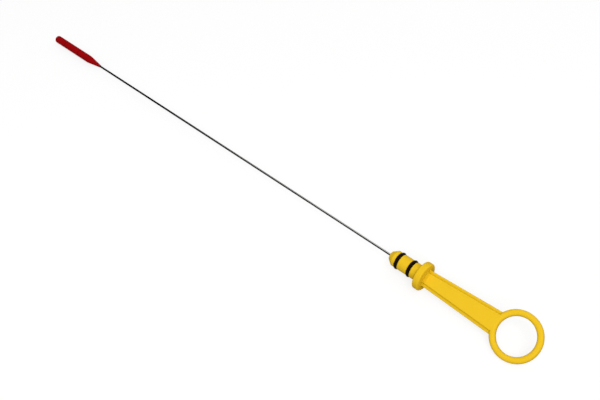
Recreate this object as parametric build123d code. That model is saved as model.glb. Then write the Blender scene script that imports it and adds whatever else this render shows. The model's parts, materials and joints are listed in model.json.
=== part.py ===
"""Engine oil dipstick: a moulded pull handle with a sealing plug, a steel wire and a moulded gauge tip.

The stick is drawn along X, with the seat face of its flange at x = 0 and the finger ring towards +x.
It is then laid down as it comes to rest, on its flange's front rim, its tip's end and one side of its ring.
All sizes are in millimetres.
"""
import math
import os

from build123d import *

# Sealing plug, which goes into the guide tube
plug_diameter = 13.4
plug_length = 29.05
nose_length = 4.5
nose_front_diameter = 6.8
nose_front_edge_radius = 1.4
nose_shoulder_radius = 1.5

# Seals in the plug's two grooves
o_ring_section = 3.0
o_ring_stand_out = 0.7
o_ring_seat_squash = 0.1
rear_groove_to_seat = 8.3
groove_spacing = 11.9
groove_side_clearance = 0.15
groove_edge_chamfer = 0.2

# Seat flange, which stops the handle on the mouth of the guide tube
flange_diameter = 23.6
flange_thickness = 5.4
flange_front_edge_radius = 1.0
flange_rear_edge_radius = 1.2

# Finger ring and the shank that carries it
handle_thickness = 6.0
ring_outer_diameter = 39.6
ring_band_width = 4.95
ring_centre_to_seat = 86.4
ring_edge_radius = 2.2
shank_root_ledge = 3.6
shank_ring_width = 19.0
panel_edge_radius = 0.6
edge_strip_width = 2.6
edge_strip_thickness = 2.8
edge_strip_edge_radius = 0.9
edge_strip_corner_radius = 0.5
shank_root_radius = 0.8

# Wire between the two mouldings, with a coined flat near each end
wire_diameter = 1.8
exposed_wire_length = 376.5
wire_depth_in_handle = 38.0
wire_depth_in_tip = 34.0
coined_length = 8.0
coined_width = 2.8
coined_thickness = 1.0
coined_to_wire_end = 4.0

# Gauge tip
tip_length = 73.7
tip_diameter = 7.5
tip_end_edge_radius = 1.8
tip_cone_length = 18.6
tip_mouth_diameter = 2.3
tip_shoulder_radius = 3.0
low_mark_to_end = 17.0
mark_spacing = 22.6
mark_width = 0.8
mark_depth = 0.3

# How close an edge lies to a plane to count as on it
flat_tolerance = 0.001

# Turn in degrees of the handle's seam line, so that a mesh of its rim leans towards the ring's resting side
seam_turn = 17.0

# Places that follow from the sizes
plug_radius = plug_diameter / 2
flange_radius = flange_diameter / 2
tip_radius = tip_diameter / 2
nose_x = -plug_length
groove_floor_radius = plug_radius + o_ring_stand_out + o_ring_seat_squash - o_ring_section
groove_width = o_ring_section + 2 * groove_side_clearance
front_groove_x = -rear_groove_to_seat - groove_spacing
rear_groove_x = -rear_groove_to_seat
shank_root_width = flange_diameter - 2 * (flange_rear_edge_radius + shank_root_ledge)
ring_middle_radius = (ring_outer_diameter - ring_band_width) / 2
shank_start_x = flange_thickness / 2
shank_middle_x = (shank_start_x + ring_centre_to_seat) / 2
tip_mouth_x = nose_x - exposed_wire_length
tip_end_x = tip_mouth_x - tip_length
wire_handle_end_x = nose_x + wire_depth_in_handle
wire_tip_end_x = tip_mouth_x - wire_depth_in_tip


def round_corners(profile, corners):
    """Round the corners of a flat profile, each given as its place and its radius."""
    for place, radius in corners:
        nearest = profile.vertices().sort_by_distance(place)[0]
        profile = fillet(nearest, radius)
    return profile


def plug_and_flange():
    """The turned forms of the handle: nose, plug with two seal grooves, and seat flange."""
    nose_front_radius = nose_front_diameter / 2
    shoulder_x = nose_x + nose_length
    profile = make_face(
        Polyline(
            (nose_x, 0),
            (nose_x, nose_front_radius),
            (shoulder_x, plug_radius),
            (0, plug_radius),
            (0, flange_radius),
            (flange_thickness, flange_radius),
            (flange_thickness, 0),
            close=True,
        )
    )
    corners = [
        ((nose_x, nose_front_radius), nose_front_edge_radius),
        ((shoulder_x, plug_radius), nose_shoulder_radius),
        ((0, flange_radius), flange_front_edge_radius),
        ((flange_thickness, flange_radius), flange_rear_edge_radius),
    ]
    profile = round_corners(profile, corners)
    groove_depth = plug_radius - groove_floor_radius
    for groove_x in (front_groove_x, rear_groove_x):
        profile -= Pos(groove_x, plug_radius) * Rectangle(groove_width, 2 * groove_depth)
        for side_x in (groove_x - groove_width / 2, groove_x + groove_width / 2):
            edge = profile.vertices().sort_by_distance((side_x, plug_radius))[0]
            profile = chamfer(edge, groove_edge_chamfer)
    return Rot(seam_turn, 0, 0) * revolve(profile, Axis.X)


def shank_width_at(x):
    """Full width of the shank, which widens evenly from the flange to the ring."""
    ring_wall_x = ring_centre_to_seat - ring_outer_diameter / 2
    growth = (shank_ring_width - shank_root_width) / (ring_wall_x - flange_thickness)
    return shank_root_width + growth * (x - flange_thickness)


def tapered_bar(side_inset, thickness):
    """Flat bar along the shank, set in from both of the shank's sides."""
    root_y = shank_width_at(shank_start_x) / 2 - side_inset
    ring_y = shank_width_at(ring_centre_to_seat) / 2 - side_inset
    plan = make_face(
        Polyline(
            (shank_start_x, -root_y),
            (ring_centre_to_seat, -ring_y),
            (ring_centre_to_seat, ring_y),
            (shank_start_x, root_y),
            close=True,
        )
    )
    return extrude(plan, thickness / 2, both=True)


def round_long_edges(bar, y, z, radius):
    """Round the four edges along the shank that pass y and z to each side of its middle."""
    edges = [
        bar.edges().sort_by_distance((shank_middle_x, side * y, face * z))[0]
        for side in (-1, 1)
        for face in (-1, 1)
    ]
    return fillet(edges, radius)


def shank():
    """Tapered shank into the ring's band: a raised middle panel with a thinner strip along each edge."""
    strip_y = shank_width_at(shank_middle_x) / 2
    strip_z = edge_strip_thickness / 2
    panel_y = strip_y - edge_strip_width
    panel_z = handle_thickness / 2
    panel = tapered_bar(edge_strip_width, handle_thickness)
    panel = round_long_edges(panel, panel_y, panel_z, panel_edge_radius)
    strips = tapered_bar(0, edge_strip_thickness)
    strips = round_long_edges(strips, strip_y, strip_z, edge_strip_edge_radius)
    bar = round_long_edges(panel + strips, panel_y, strip_z, edge_strip_corner_radius)
    inside_ring = Cylinder(ring_middle_radius, 2 * handle_thickness)
    return bar - Pos(ring_centre_to_seat, 0) * inside_ring


def finger_ring():
    """Ring with a rounded rectangular band."""
    band = RectangleRounded(ring_band_width, handle_thickness, ring_edge_radius)
    ring = revolve(Plane.XZ * Pos(ring_middle_radius, 0) * band, Axis.Z)
    return Pos(ring_centre_to_seat, 0) * ring


def handle(wire):
    """The whole handle, moulded round the end of the wire."""
    body = plug_and_flange() + shank() + finger_ring()
    on_rear_face = body.edges().filter_by_position(
        Axis.X, flange_thickness - flat_tolerance, flange_thickness + flat_tolerance
    )
    root_edges = [edge for edge in on_rear_face if edge.length < flange_diameter]
    return fillet(root_edges, shank_root_radius) - wire


def coined_flat(centre_x):
    """One coined flat: the plan of the squeezed wire, at its squeezed thickness."""
    plan = Pos(centre_x, 0) * SlotOverall(coined_length, coined_width)
    return extrude(plan, coined_thickness / 2, both=True)


def gauge_wire():
    """Round wire, squeezed flat near each end to key it into the mouldings."""
    length = wire_handle_end_x - wire_tip_end_x
    wire = Plane.YZ.offset(wire_tip_end_x) * Cylinder(
        wire_diameter / 2, length, align=(Align.CENTER, Align.CENTER, Align.MIN)
    )
    inset = coined_to_wire_end + coined_length / 2
    for centre_x in (wire_tip_end_x + inset, wire_handle_end_x - inset):
        squeezed_length = coined_length - coined_width
        squeezed = Pos(centre_x, 0) * Box(squeezed_length, coined_width, wire_diameter)
        wire = wire - squeezed + coined_flat(centre_x)
    return wire


def gauge_tip(wire):
    """Round bar with a cone at the wire and two shallow level grooves, moulded round the wire."""
    cone_x = tip_mouth_x - tip_cone_length
    profile = make_face(
        Polyline(
            (tip_end_x, 0),
            (tip_end_x, tip_radius),
            (cone_x, tip_radius),
            (tip_mouth_x, tip_mouth_diameter / 2),
            (tip_mouth_x, 0),
            close=True,
        )
    )
    corners = [
        ((tip_end_x, tip_radius), tip_end_edge_radius),
        ((cone_x, tip_radius), tip_shoulder_radius),
    ]
    profile = round_corners(profile, corners)
    for mark_to_end in (low_mark_to_end, low_mark_to_end + mark_spacing):
        profile -= Pos(tip_end_x + mark_to_end, tip_radius) * Rectangle(mark_width, 2 * mark_depth)
    return revolve(profile, Axis.X) - wire


def o_ring(groove_x):
    """Rubber ring, flattened a little where it sits on the floor of its groove."""
    centre_radius = groove_floor_radius + o_ring_section / 2 - o_ring_seat_squash
    section = Pos(groove_x, centre_radius) * Circle(o_ring_section / 2)
    section -= Pos(groove_x, 0) * Rectangle(o_ring_section, 2 * groove_floor_radius)
    return revolve(section, Axis.X)


def rest_slope():
    """Angle in degrees that brings the flange's front rim and the tip's end down to one level."""
    flange_x = flange_front_edge_radius
    flange_z = flange_front_edge_radius - flange_radius
    tip_x = tip_end_x + tip_end_edge_radius
    tip_z = tip_end_edge_radius - tip_radius
    run = flange_x - tip_x
    drop = flange_z - tip_z
    rounding = (flange_front_edge_radius - tip_end_edge_radius) / math.hypot(run, drop)
    return math.degrees(math.atan2(drop, run) - math.asin(rounding))


def rest_roll():
    """Angle in degrees that then turns the stick about its axis until the ring's side is down at that level."""
    slope = math.radians(rest_slope())
    edge_y = ring_outer_diameter / 2 - ring_edge_radius
    edge_z = handle_thickness / 2 - ring_edge_radius
    flange_reach = flange_radius - flange_front_edge_radius
    flange_drop = flange_front_edge_radius * (1 + math.sin(slope)) + flange_reach * math.cos(slope)
    ring_drop = flange_drop - ring_edge_radius - ring_centre_to_seat * math.sin(slope)
    edge_reach = math.hypot(edge_y, edge_z)
    spare = math.sqrt(edge_reach**2 - ring_drop**2)
    turn = (ring_drop * edge_z + spare * edge_y) / (edge_reach**2 * math.cos(slope))
    return math.degrees(math.acos(turn))


wire_shape = gauge_wire()
pieces = {
    "handle": handle(wire_shape),
    "front_o_ring": o_ring(front_groove_x),
    "rear_o_ring": o_ring(rear_groove_x),
    "wire": wire_shape,
    "gauge_tip": gauge_tip(wire_shape),
}

# Laid down, with the origin on the surface under the middle of the stick
lay_down = Rot(0, rest_slope(), 0) * Rot(rest_roll(), 0, 0)
laid = {name: lay_down * shape for name, shape in pieces.items()}
box = Compound(list(laid.values())).bounding_box()
to_origin = Pos(-box.center().X, -box.center().Y, -box.min.Z)

os.makedirs("parts", exist_ok=True)
for name, shape in laid.items():
    export_step(to_origin * shape, f"parts/{name}.step")
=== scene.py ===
"""Looks of an engine oil dipstick: the finish of each of its pieces, a plain white studio and a camera.

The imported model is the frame. Its pieces keep their shape, and each gets the material it is made of.
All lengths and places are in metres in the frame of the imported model, which lies on the floor at z = 0.
"""

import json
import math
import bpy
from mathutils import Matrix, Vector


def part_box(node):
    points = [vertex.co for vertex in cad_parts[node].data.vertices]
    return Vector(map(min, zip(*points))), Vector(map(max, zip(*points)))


bl_info = {
    "name": "Engine Oil Dipstick",
    "version": (1, 0, 0),
    "blender": (4, 5, 0),
    "location": "3D View > Sidebar > Dipstick",
    "description": "Finishes the pieces of an engine oil dipstick and sets its stage",
    "category": "Object",
}

import bmesh
import bpy
from bpy.props import FloatProperty, FloatVectorProperty, PointerProperty
from mathutils import Matrix, Vector

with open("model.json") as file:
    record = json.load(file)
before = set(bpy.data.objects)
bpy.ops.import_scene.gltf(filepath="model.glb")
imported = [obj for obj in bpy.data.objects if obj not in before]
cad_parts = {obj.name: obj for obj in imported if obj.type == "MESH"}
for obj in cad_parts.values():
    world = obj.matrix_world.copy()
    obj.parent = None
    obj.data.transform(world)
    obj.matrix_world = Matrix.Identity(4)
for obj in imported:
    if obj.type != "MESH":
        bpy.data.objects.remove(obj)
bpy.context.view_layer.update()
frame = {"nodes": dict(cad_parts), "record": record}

MILLIMETRE = 0.001
SENSOR_WIDTH_MM = 36.0

# Curve of the sRGB standard
FULL_LEVEL = 255
TOE_END = 0.04045
TOE_SLOPE = 12.92
CURVE_OFFSET = 0.055
CURVE_POWER = 2.4

# White, and the strength at which what the eye looks at is white
WHITE = (1.0, 1.0, 1.0, 1.0)
WHITE_STRENGTH = 1.0

# Places of sockets that share their name with others on the same node
FIRST = 0
SECOND = 1
MIX_SHARE = 0
MIX_FIRST = 6
MIX_SECOND = 7
MIX_RESULT = 2

# Settings of a node that mixes or multiplies two colours
MIX_COLOURS = {"data_type": "RGBA"}
MULTIPLY_COLOURS = {"data_type": "RGBA", "blend_type": "MULTIPLY"}

# Typical refractive indices
NYLON_IOR = 1.53
RUBBER_IOR = 1.52

# Finer layers in each pattern, and how far the flow of the melt swirls
FLOW_DETAIL = 3.0
FLOW_SWIRL = 0.6
GRAIN_DETAIL = 2.0
BLOOM_DETAIL = 4.0
LINE_DETAIL = 2.0

# Between these lie most values of the flow pattern
FLOW_LOW = 0.3
FLOW_HIGH = 0.7

# How far the roughness swings to each side of its setting
NYLON_ROUGHNESS_SWING = 0.05
STEEL_ROUGHNESS_SWING = 0.08

# Strength of each relief, and the depth of the rubber's bloom
GRAIN_STRENGTH = 0.3
BLOOM_STRENGTH = 0.2
BLOOM_DEPTH = 0.02 * MILLIMETRE

# Rays that feel for inner corners, and the openness of a place that has none
CORNER_RAYS = 16
FULLY_OPEN = 1.0


def linear(hex_colour):
    """Linear red, green and blue of an sRGB hex colour."""
    channels = [level / FULL_LEVEL for level in bytes.fromhex(hex_colour.lstrip("#"))]
    return [
        c / TOE_SLOPE if c <= TOE_END else ((c + CURVE_OFFSET) / (1 + CURVE_OFFSET)) ** CURVE_POWER
        for c in channels
    ]


def opaque(colour):
    """A colour with full opacity, as a node's colour socket takes it."""
    return (*colour, 1.0)


def pattern_scale(size):
    """Scale of a noise whose patches are about that size across."""
    return 1 / size


def add_node(tree, kind, settings=None, inputs=None):
    """Add a node, set its properties, and set or link its inputs."""
    node = tree.nodes.new(kind)
    for name, value in (settings or {}).items():
        setattr(node, name, value)
    for name, value in (inputs or {}).items():
        if isinstance(value, bpy.types.NodeSocket):
            tree.links.new(value, node.inputs[name])
        else:
            node.inputs[name].default_value = value
    return node


def empty_material(name):
    """A material with no nodes, and its node tree."""
    material = bpy.data.materials.new(name)
    material.use_nodes = True
    material.node_tree.nodes.clear()
    return material, material.node_tree


def finish_piece(name, material):
    """Give a piece of the frame its material."""
    piece = frame["nodes"][name]
    piece.data.materials.clear()
    piece.data.materials.append(material)


def moulded_nylon(name, finish):
    """Moulded nylon with a dull satin face.

    The pigment is a little uneven where the melt flowed, and the inner corners carry painted shade, darker
    where the piece hides more of its surroundings. The eroded mould leaves a fine grain that breaks up the
    gloss. The real grain is about 0.1 mm and too fine to show, so it is drawn coarser.
    """
    material, tree = empty_material(name)
    place = add_node(tree, "ShaderNodeTexCoord").outputs["Object"]
    flow = add_node(
        tree,
        "ShaderNodeTexNoise",
        inputs={
            "Vector": place,
            "Scale": pattern_scale(finish.flow_size),
            "Detail": FLOW_DETAIL,
            "Distortion": FLOW_SWIRL,
        },
    )
    pigment = add_node(
        tree,
        "ShaderNodeMix",
        MIX_COLOURS,
        {
            MIX_SHARE: flow.outputs["Fac"],
            MIX_FIRST: opaque(finish.colour),
            MIX_SECOND: opaque(finish.flow_colour),
        },
    )
    # Painted shade: inner corners take the darker colour, more where the piece hides more of its
    # surroundings
    corners = add_node(
        tree,
        "ShaderNodeAmbientOcclusion",
        {"only_local": True, "samples": CORNER_RAYS},
        {"Distance": finish.shading_reach},
    )
    shading = add_node(
        tree,
        "ShaderNodeMapRange",
        inputs={
            "Value": corners.outputs["AO"],
            "From Min": FULLY_OPEN,
            "From Max": finish.shady_openness,
        },
    )
    colour = add_node(
        tree,
        "ShaderNodeMix",
        MIX_COLOURS,
        {
            MIX_SHARE: shading.outputs["Result"],
            MIX_FIRST: pigment.outputs[MIX_RESULT],
            MIX_SECOND: opaque(finish.shading_colour),
        },
    )
    grain = add_node(
        tree,
        "ShaderNodeTexNoise",
        inputs={"Vector": place, "Scale": pattern_scale(finish.grain_size), "Detail": GRAIN_DETAIL},
    )
    gloss = add_node(
        tree,
        "ShaderNodeMapRange",
        inputs={
            "Value": flow.outputs["Fac"],
            "From Min": FLOW_LOW,
            "From Max": FLOW_HIGH,
            "To Min": finish.roughness - NYLON_ROUGHNESS_SWING,
            "To Max": finish.roughness + NYLON_ROUGHNESS_SWING,
        },
    )
    relief = add_node(
        tree,
        "ShaderNodeBump",
        inputs={
            "Height": grain.outputs["Fac"],
            "Strength": GRAIN_STRENGTH,
            "Distance": finish.grain_depth,
        },
    )
    surface = add_node(
        tree,
        "ShaderNodeBsdfPrincipled",
        inputs={
            "Base Color": colour.outputs[MIX_RESULT],
            "Roughness": gloss.outputs["Result"],
            "IOR": NYLON_IOR,
            "Specular IOR Level": finish.shine,
            "Normal": relief.outputs["Normal"],
        },
    )
    add_node(tree, "ShaderNodeOutputMaterial", inputs={"Surface": surface.outputs["BSDF"]})
    return material


def nitrile_rubber(finish):
    """Moulded nitrile rubber: warm near-black with a dull sheen and a faint grey bloom in patches."""
    material, tree = empty_material("Moulded nitrile rubber")
    place = add_node(tree, "ShaderNodeTexCoord").outputs["Object"]
    bloom = add_node(
        tree,
        "ShaderNodeTexNoise",
        inputs={"Vector": place, "Scale": pattern_scale(finish.bloom_size), "Detail": BLOOM_DETAIL},
    )
    colour = add_node(
        tree,
        "ShaderNodeMix",
        MIX_COLOURS,
        {
            MIX_SHARE: bloom.outputs["Fac"],
            MIX_FIRST: opaque(finish.colour),
            MIX_SECOND: opaque(finish.bloom_colour),
        },
    )
    relief = add_node(
        tree,
        "ShaderNodeBump",
        inputs={
            "Height": bloom.outputs["Fac"],
            "Strength": BLOOM_STRENGTH,
            "Distance": BLOOM_DEPTH,
        },
    )
    surface = add_node(
        tree,
        "ShaderNodeBsdfPrincipled",
        inputs={
            "Base Color": colour.outputs[MIX_RESULT],
            "Roughness": finish.roughness,
            "IOR": RUBBER_IOR,
            "Specular IOR Level": finish.shine,
            "Normal": relief.outputs["Normal"],
        },
    )
    add_node(tree, "ShaderNodeOutputMaterial", inputs={"Surface": surface.outputs["BSDF"]})
    return material


def drawn_spring_steel(finish, handle_x, tip_x):
    """Drawn spring steel with fine lines along it.

    The colour carries a painted reflection: light on the upper side of the wire and dark on the rest, and
    dark all round towards the gauge tip. The real lines are a few hundredths of a millimetre wide and too
    fine to show, so they are drawn coarser.
    """
    material, tree = empty_material("Drawn spring steel")
    around = add_node(tree, "ShaderNodeTexCoord").outputs
    along = add_node(tree, "ShaderNodeSeparateXYZ", inputs={"Vector": around["Object"]})
    # Painted reflection: the side of the wire that faces the given direction takes the light colour, the
    # rest the dark one
    facing = add_node(
        tree,
        "ShaderNodeVectorMath",
        {"operation": "DOT_PRODUCT"},
        {FIRST: around["Normal"], SECOND: finish.lit_side},
    )
    lit = add_node(
        tree,
        "ShaderNodeMapRange",
        inputs={
            "Value": facing.outputs["Value"],
            "From Min": finish.lit_edge - finish.lit_blend,
            "From Max": finish.lit_edge + finish.lit_blend,
        },
    )
    # Painted dark reflection: the colour turns dark from the handle towards the gauge tip
    darkening = add_node(
        tree,
        "ShaderNodeMapRange",
        inputs={
            "Value": along.outputs["X"],
            "From Min": handle_x,
            "From Max": tip_x + (handle_x - tip_x) * finish.darkening_reach,
            "To Max": finish.darkening_depth,
        },
    )
    # One unit of the stretched place is one line's length along the wire and one line's width across it
    stretched = add_node(
        tree,
        "ShaderNodeMapping",
        inputs={
            "Vector": around["Object"],
            "Scale": (
                pattern_scale(finish.line_length),
                pattern_scale(finish.line_width),
                pattern_scale(finish.line_width),
            ),
        },
    )
    lines = add_node(
        tree,
        "ShaderNodeTexNoise",
        inputs={"Vector": stretched.outputs["Vector"], "Scale": 1.0, "Detail": LINE_DETAIL},
    )
    plain = add_node(
        tree,
        "ShaderNodeMix",
        MIX_COLOURS,
        {
            MIX_SHARE: lit.outputs["Result"],
            MIX_FIRST: opaque(finish.unlit_colour),
            MIX_SECOND: opaque(finish.colour),
        },
    )
    lined = add_node(
        tree,
        "ShaderNodeMix",
        MULTIPLY_COLOURS,
        {
            MIX_SHARE: lines.outputs["Fac"],
            MIX_FIRST: plain.outputs[MIX_RESULT],
            MIX_SECOND: opaque(finish.line_colour),
        },
    )
    colour = add_node(
        tree,
        "ShaderNodeMix",
        MIX_COLOURS,
        {
            MIX_SHARE: darkening.outputs["Result"],
            MIX_FIRST: lined.outputs[MIX_RESULT],
            MIX_SECOND: opaque(finish.darkening_colour),
        },
    )
    gloss = add_node(
        tree,
        "ShaderNodeMapRange",
        inputs={
            "Value": lines.outputs["Fac"],
            "To Min": finish.roughness - STEEL_ROUGHNESS_SWING,
            "To Max": finish.roughness + STEEL_ROUGHNESS_SWING,
        },
    )
    surface = add_node(
        tree,
        "ShaderNodeBsdfPrincipled",
        inputs={
            "Base Color": colour.outputs[MIX_RESULT],
            "Metallic": 1.0,
            "Roughness": gloss.outputs["Result"],
            "Specular Tint": opaque(finish.edge_colour),
        },
    )
    add_node(tree, "ShaderNodeOutputMaterial", inputs={"Surface": surface.outputs["BSDF"]})
    return material


def looking_rays(tree):
    """A value that is 1 where the eye, a mirror or glass looks, and 0 where a surface gathers light."""
    path = add_node(tree, "ShaderNodeLightPath").outputs
    direct = add_node(
        tree,
        "ShaderNodeMath",
        {"operation": "MAXIMUM"},
        {FIRST: path["Is Camera Ray"], SECOND: path["Is Glossy Ray"]},
    )
    looking = add_node(
        tree,
        "ShaderNodeMath",
        {"operation": "MAXIMUM"},
        {FIRST: direct.outputs["Value"], SECOND: path["Is Transmission Ray"]},
    )
    return looking.outputs["Value"]


def studio_board(stage):
    """Matt studio board, which takes the object's shadow and looks white out to its edges."""
    material, tree = empty_material("Matt studio board")
    board = add_node(tree, "ShaderNodeBsdfDiffuse", inputs={"Color": opaque(stage.floor_colour)})
    place = add_node(tree, "ShaderNodeTexCoord").outputs["Object"]
    distance = add_node(tree, "ShaderNodeVectorMath", {"operation": "LENGTH"}, {FIRST: place})
    white = add_node(
        tree,
        "ShaderNodeMapRange",
        inputs={
            "Value": distance.outputs["Value"],
            "From Min": stage.shadow_reach,
            "From Max": stage.floor_size,
            "To Min": stage.floor_glow,
            "To Max": WHITE_STRENGTH,
        },
    )
    strength = add_node(
        tree,
        "ShaderNodeMath",
        {"operation": "MULTIPLY"},
        {FIRST: looking_rays(tree), SECOND: white.outputs["Result"]},
    )
    glow = add_node(tree, "ShaderNodeEmission", inputs={"Strength": strength.outputs["Value"]})
    both = add_node(
        tree,
        "ShaderNodeAddShader",
        inputs={FIRST: board.outputs["BSDF"], SECOND: glow.outputs["Emission"]},
    )
    add_node(tree, "ShaderNodeOutputMaterial", inputs={"Surface": both.outputs["Shader"]})
    return material


def white_room(stage):
    """Surroundings that light the object evenly and look white."""
    world = bpy.data.worlds.new("White room")
    world.use_nodes = True
    tree = world.node_tree
    tree.nodes.clear()
    strength = add_node(
        tree,
        "ShaderNodeMapRange",
        inputs={"Value": looking_rays(tree), "To Min": stage.room_light, "To Max": WHITE_STRENGTH},
    )
    room = add_node(
        tree,
        "ShaderNodeBackground",
        inputs={"Color": WHITE, "Strength": strength.outputs["Result"]},
    )
    add_node(tree, "ShaderNodeOutputWorld", inputs={"Surface": room.outputs["Background"]})
    return world


def add_softbox(name, place, size, power):
    """A square area lamp that hangs at a place and faces the middle of the stick."""
    lamp = bpy.data.lights.new(name, "AREA")
    lamp.shape = "SQUARE"
    lamp.size = size
    lamp.energy = power
    softbox = bpy.data.objects.new(name, lamp)
    softbox.location = place
    softbox.rotation_euler = (-Vector(place)).to_track_quat("-Z", "Y").to_euler()
    bpy.context.scene.collection.objects.link(softbox)


def colour_property(name, description, hex_colour):
    """A colour that a user may change, with its default in sRGB hex."""
    return FloatVectorProperty(
        name=name,
        description=description,
        subtype="COLOR",
        min=0.0,
        max=1.0,
        default=linear(hex_colour),
    )


def share_property(name, description, share):
    """A share of the whole that a user may change."""
    return FloatProperty(
        name=name,
        description=description,
        subtype="FACTOR",
        min=0.0,
        max=1.0,
        default=share,
    )


def length_property(name, description, length):
    """A length that a user may change."""
    return FloatProperty(name=name, description=description, unit="LENGTH", min=0.0, default=length)


def power_property(name, description, watts):
    """A lamp's power that a user may change."""
    return FloatProperty(name=name, description=description, unit="POWER", min=0.0, default=watts)


def place_property(name, description, place):
    """A place that a user may change."""
    return FloatVectorProperty(name=name, description=description, subtype="TRANSLATION", default=place)


class NylonFinish:
    """Settings that both nylon mouldings have"""

    flow_size: length_property("Flow size", "Width of the uneven patches", 9.0 * MILLIMETRE)
    grain_size: length_property("Grain size", "Width of the moulded grain", 0.5 * MILLIMETRE)
    # Painted shade in inner corners: how far it reaches, and how open a corner is where it is full
    shading_reach: length_property("Shading reach", "Width of the grime in inner corners", 3.0 * MILLIMETRE)
    shady_openness: share_property("Shady openness", "How open a corner full of grime is", 0.5)
    roughness: share_property("Roughness", "Dullness of the gloss", 0.75)
    shine: share_property("Shine", "Strength of the gloss", 0.03)


class HandleFinish(NylonFinish, bpy.types.PropertyGroup):
    """Finish of the handle"""

    colour: colour_property("Colour", "Pigment of the handle", "#F9CD2A")
    flow_colour: colour_property("Flow colour", "Pigment where the melt flowed together", "#F4C625")
    # Colour of the painted shade in inner corners
    shading_colour: colour_property("Shading colour", "Colour of the shady corners", "#CCA90C")
    grain_depth: length_property("Grain depth", "Depth of the grain", 0.03 * MILLIMETRE)


class TipFinish(NylonFinish, bpy.types.PropertyGroup):
    """Finish of the gauge tip"""

    colour: colour_property("Colour", "Pigment of the gauge tip", "#A8050A")
    flow_colour: colour_property("Flow colour", "Pigment where the melt flowed together", "#9A0409")
    # Colour of the painted shade in inner corners
    shading_colour: colour_property("Shading colour", "Colour of the shady corners", "#860408")
    grain_depth: length_property("Grain depth", "Depth of the grain", 0.015 * MILLIMETRE)


class RubberFinish(bpy.types.PropertyGroup):
    """Finish of the two seals"""

    colour: colour_property("Colour", "Colour of the rubber", "#120A06")
    bloom_colour: colour_property("Bloom colour", "Colour of the faint bloom", "#15100C")
    bloom_size: length_property("Bloom size", "Width of the patches of bloom", 1.2 * MILLIMETRE)
    roughness: share_property("Roughness", "Dullness of the sheen", 0.5)
    shine: share_property("Shine", "Strength of the sheen", 0.02)


class WireFinish(bpy.types.PropertyGroup):
    """Finish of the wire"""

    # Painted reflection on the steel: the first colour on the side that faces the given direction, the
    # second on the rest
    colour: colour_property("Colour", "Colour of the steel on its rubbed side", "#DAD9D5")
    unlit_colour: colour_property("Dull colour", "Colour of the steel on its other side", "#161514")
    lit_side: FloatVectorProperty(
        name="Lit side",
        description="Direction that the rubbed side faces",
        subtype="DIRECTION",
        default=(0.0, 0.5, 0.866),
    )
    lit_edge: share_property("Lit edge", "Cosine of the angle where the rubbed side ends", 0.56)
    lit_blend: share_property("Lit blend", "Softness of that edge, as a cosine", 0.14)
    line_colour: colour_property("Line colour", "Tint of the drawn lines", "#9C9C9C")
    # Painted dark reflection towards the gauge tip: its colour, how much of the wire it fills, and how
    # strong it is
    darkening_colour: colour_property("Darkening colour", "Colour of the oil stain near the tip", "#080707")
    darkening_reach: share_property("Darkening reach", "Share of the wire that is darkened through", 0.25)
    darkening_depth: share_property("Darkening depth", "How well the stain hides the steel", 0.95)
    edge_colour: colour_property("Edge colour", "Tint of the steel at a glancing angle", "#2E2E2D")
    line_width: length_property("Line width", "Width of the drawn lines", 0.25 * MILLIMETRE)
    line_length: length_property("Line length", "Length of the drawn lines", 25.0 * MILLIMETRE)
    roughness: share_property("Roughness", "Dullness of the steel", 0.32)


class StageSettings(bpy.types.PropertyGroup):
    """Floor, light and camera"""

    floor_colour: colour_property("Floor colour", "Colour of the studio board", "#959595")
    floor_glow: share_property("Floor glow", "Share of white that isn't shadowed", 0.75)
    floor_size: length_property("Floor size", "Half-width of the board", 3.0)
    shadow_reach: length_property("Shadow reach", "How far from the middle shadows show in full", 0.8)
    room_light: share_property("Room light", "Strength of the even light all round", 0.37)
    softbox_size: length_property("Softbox size", "Width of a softbox", 1.6)
    key_power: power_property("Key power", "Power of the main softbox", 27.2)
    key_place: place_property("Key place", "Where the main softbox hangs", (0.85, -1.0, 1.52))
    fill_power: power_property("Fill power", "Power of the second softbox", 2.5)
    fill_place: place_property("Fill place", "Where the second softbox hangs", (0.1, 0.9, 1.0))
    focal_length: FloatProperty(
        name="Focal length",
        description="Lens of the camera in mm",
        unit="CAMERA",
        default=49.54,
    )
    stick_angle: FloatProperty(
        name="Stick angle",
        description="How far the stick slopes down to the right in the picture",
        subtype="ANGLE",
        default=math.radians(33.12),
    )
    camera_place: place_property("Camera place", "Where the camera stands", (0.39567, -0.36119, 0.50942))
    camera_aim: place_property("Camera aim", "Point in the picture's middle", (0.06064, -0.00229, 0.00799))


class DIPSTICK_OT_handle(bpy.types.Operator):
    """Finish the handle as moulded yellow nylon"""

    bl_idname = "dipstick.handle"
    bl_label = "Finish Handle"
    settings_name = "dipstick_handle"
    settings_group = HandleFinish

    def execute(self, context):
        finish_piece("handle", moulded_nylon("Moulded yellow nylon", context.scene.dipstick_handle))
        return {"FINISHED"}


class DIPSTICK_OT_seals(bpy.types.Operator):
    """Finish the two seals as black rubber"""

    bl_idname = "dipstick.seals"
    bl_label = "Finish Seals"
    settings_name = "dipstick_seals"
    settings_group = RubberFinish

    def execute(self, context):
        rubber = nitrile_rubber(context.scene.dipstick_seals)
        for name in ("front_o_ring", "rear_o_ring"):
            finish_piece(name, rubber)
        return {"FINISHED"}


class DIPSTICK_OT_wire(bpy.types.Operator):
    """Finish the wire as drawn steel"""

    bl_idname = "dipstick.wire"
    bl_label = "Finish Wire"
    settings_name = "dipstick_wire"
    settings_group = WireFinish

    def execute(self, context):
        handle_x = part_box("handle")[0].x
        tip_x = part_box("gauge_tip")[1].x
        finish_piece("wire", drawn_spring_steel(context.scene.dipstick_wire, handle_x, tip_x))
        return {"FINISHED"}


class DIPSTICK_OT_gauge_tip(bpy.types.Operator):
    """Finish the gauge tip as moulded red nylon"""

    bl_idname = "dipstick.gauge_tip"
    bl_label = "Finish Gauge Tip"
    settings_name = "dipstick_tip"
    settings_group = TipFinish

    def execute(self, context):
        finish_piece("gauge_tip", moulded_nylon("Moulded red nylon", context.scene.dipstick_tip))
        return {"FINISHED"}


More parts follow.
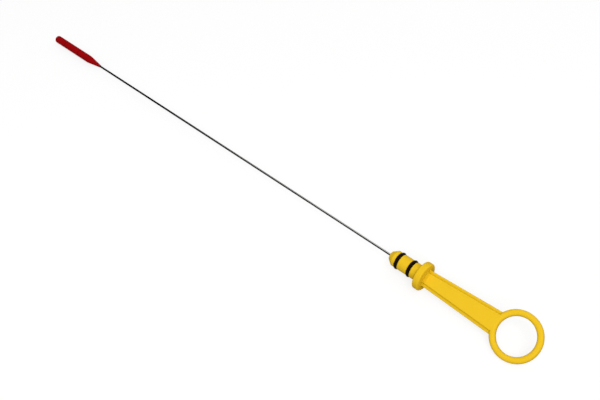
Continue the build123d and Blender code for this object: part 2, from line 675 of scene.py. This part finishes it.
class DIPSTICK_OT_stage(bpy.types.Operator):
    """Lay the floor, hang the lamps and set the camera"""

    bl_idname = "dipstick.stage"
    bl_label = "Set Stage"
    settings_name = "dipstick_stage"
    settings_group = StageSettings

    def execute(self, context):
        stage = context.scene.dipstick_stage
        self.lay_floor(context, stage)
        self.light(context, stage)
        self.set_camera(context, stage)
        context.scene.view_settings.view_transform = "Standard"
        return {"FINISHED"}

    def lay_floor(self, context, stage):
        """One flat board under the stick."""
        shape = bmesh.new()
        bmesh.ops.create_grid(shape, x_segments=1, y_segments=1, size=stage.floor_size)
        mesh = bpy.data.meshes.new("floor")
        shape.to_mesh(mesh)
        shape.free()
        mesh.materials.append(studio_board(stage))
        floor = bpy.data.objects.new("floor", mesh)
        context.scene.collection.objects.link(floor)

    def light(self, context, stage):
        """A white room, a main softbox on the camera's side and a weak one behind the stick."""
        context.scene.world = white_room(stage)
        add_softbox("key_softbox", stage.key_place, stage.softbox_size, stage.key_power)
        add_softbox("fill_softbox", stage.fill_place, stage.softbox_size, stage.fill_power)

    def set_camera(self, context, stage):
        """Camera with the stick sloping down to the right across the picture."""
        place = Vector(stage.camera_place)
        sight = (Vector(stage.camera_aim) - place).normalized()
        tube_seat = frame["record"]["mounts"][0]
        stick = -Vector(tube_seat["axis"])
        along = (stick - sight * stick.dot(sight)).normalized()
        across = sight.cross(along)
        right = math.cos(stage.stick_angle) * along - math.sin(stage.stick_angle) * across
        up = -math.sin(stage.stick_angle) * along - math.cos(stage.stick_angle) * across
        turn = Matrix((right, up, -sight)).transposed().to_4x4()
        lens = bpy.data.cameras.new("camera")
        lens.sensor_width = SENSOR_WIDTH_MM
        lens.lens = stage.focal_length
        camera = bpy.data.objects.new("camera", lens)
        camera.matrix_world = Matrix.Translation(place) @ turn
        context.scene.collection.objects.link(camera)
        context.scene.camera = camera


STEPS = (
    DIPSTICK_OT_handle,
    DIPSTICK_OT_seals,
    DIPSTICK_OT_wire,
    DIPSTICK_OT_gauge_tip,
    DIPSTICK_OT_stage,
)


class DIPSTICK_PT_panel(bpy.types.Panel):
    """Pieces and stage of the dipstick"""

    bl_idname = "DIPSTICK_PT_panel"
    bl_label = "Engine Oil Dipstick"
    bl_space_type = "VIEW_3D"
    bl_region_type = "UI"
    bl_category = "Dipstick"

    def draw(self, context):
        for step in STEPS:
            column = self.layout.column()
            column.operator(step.bl_idname)
            settings = getattr(context.scene, step.settings_name)
            for setting in settings.bl_rna.properties:
                if setting.is_runtime:
                    column.prop(settings, setting.identifier)


def register():
    """Register each step with its settings, and the panel."""
    for step in STEPS:
        bpy.utils.register_class(step.settings_group)
        setattr(bpy.types.Scene, step.settings_name, PointerProperty(type=step.settings_group))
        bpy.utils.register_class(step)
    bpy.utils.register_class(DIPSTICK_PT_panel)


def unregister():
    """Remove the panel, and each step with its settings."""
    bpy.utils.unregister_class(DIPSTICK_PT_panel)
    for step in reversed(STEPS):
        bpy.utils.unregister_class(step)
        delattr(bpy.types.Scene, step.settings_name)
        bpy.utils.unregister_class(step.settings_group)


def main():
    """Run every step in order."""
    register()
    bpy.ops.dipstick.handle()
    bpy.ops.dipstick.seals()
    bpy.ops.dipstick.wire()
    bpy.ops.dipstick.gauge_tip()
    bpy.ops.dipstick.stage()


if __name__ == "__main__":
    main()
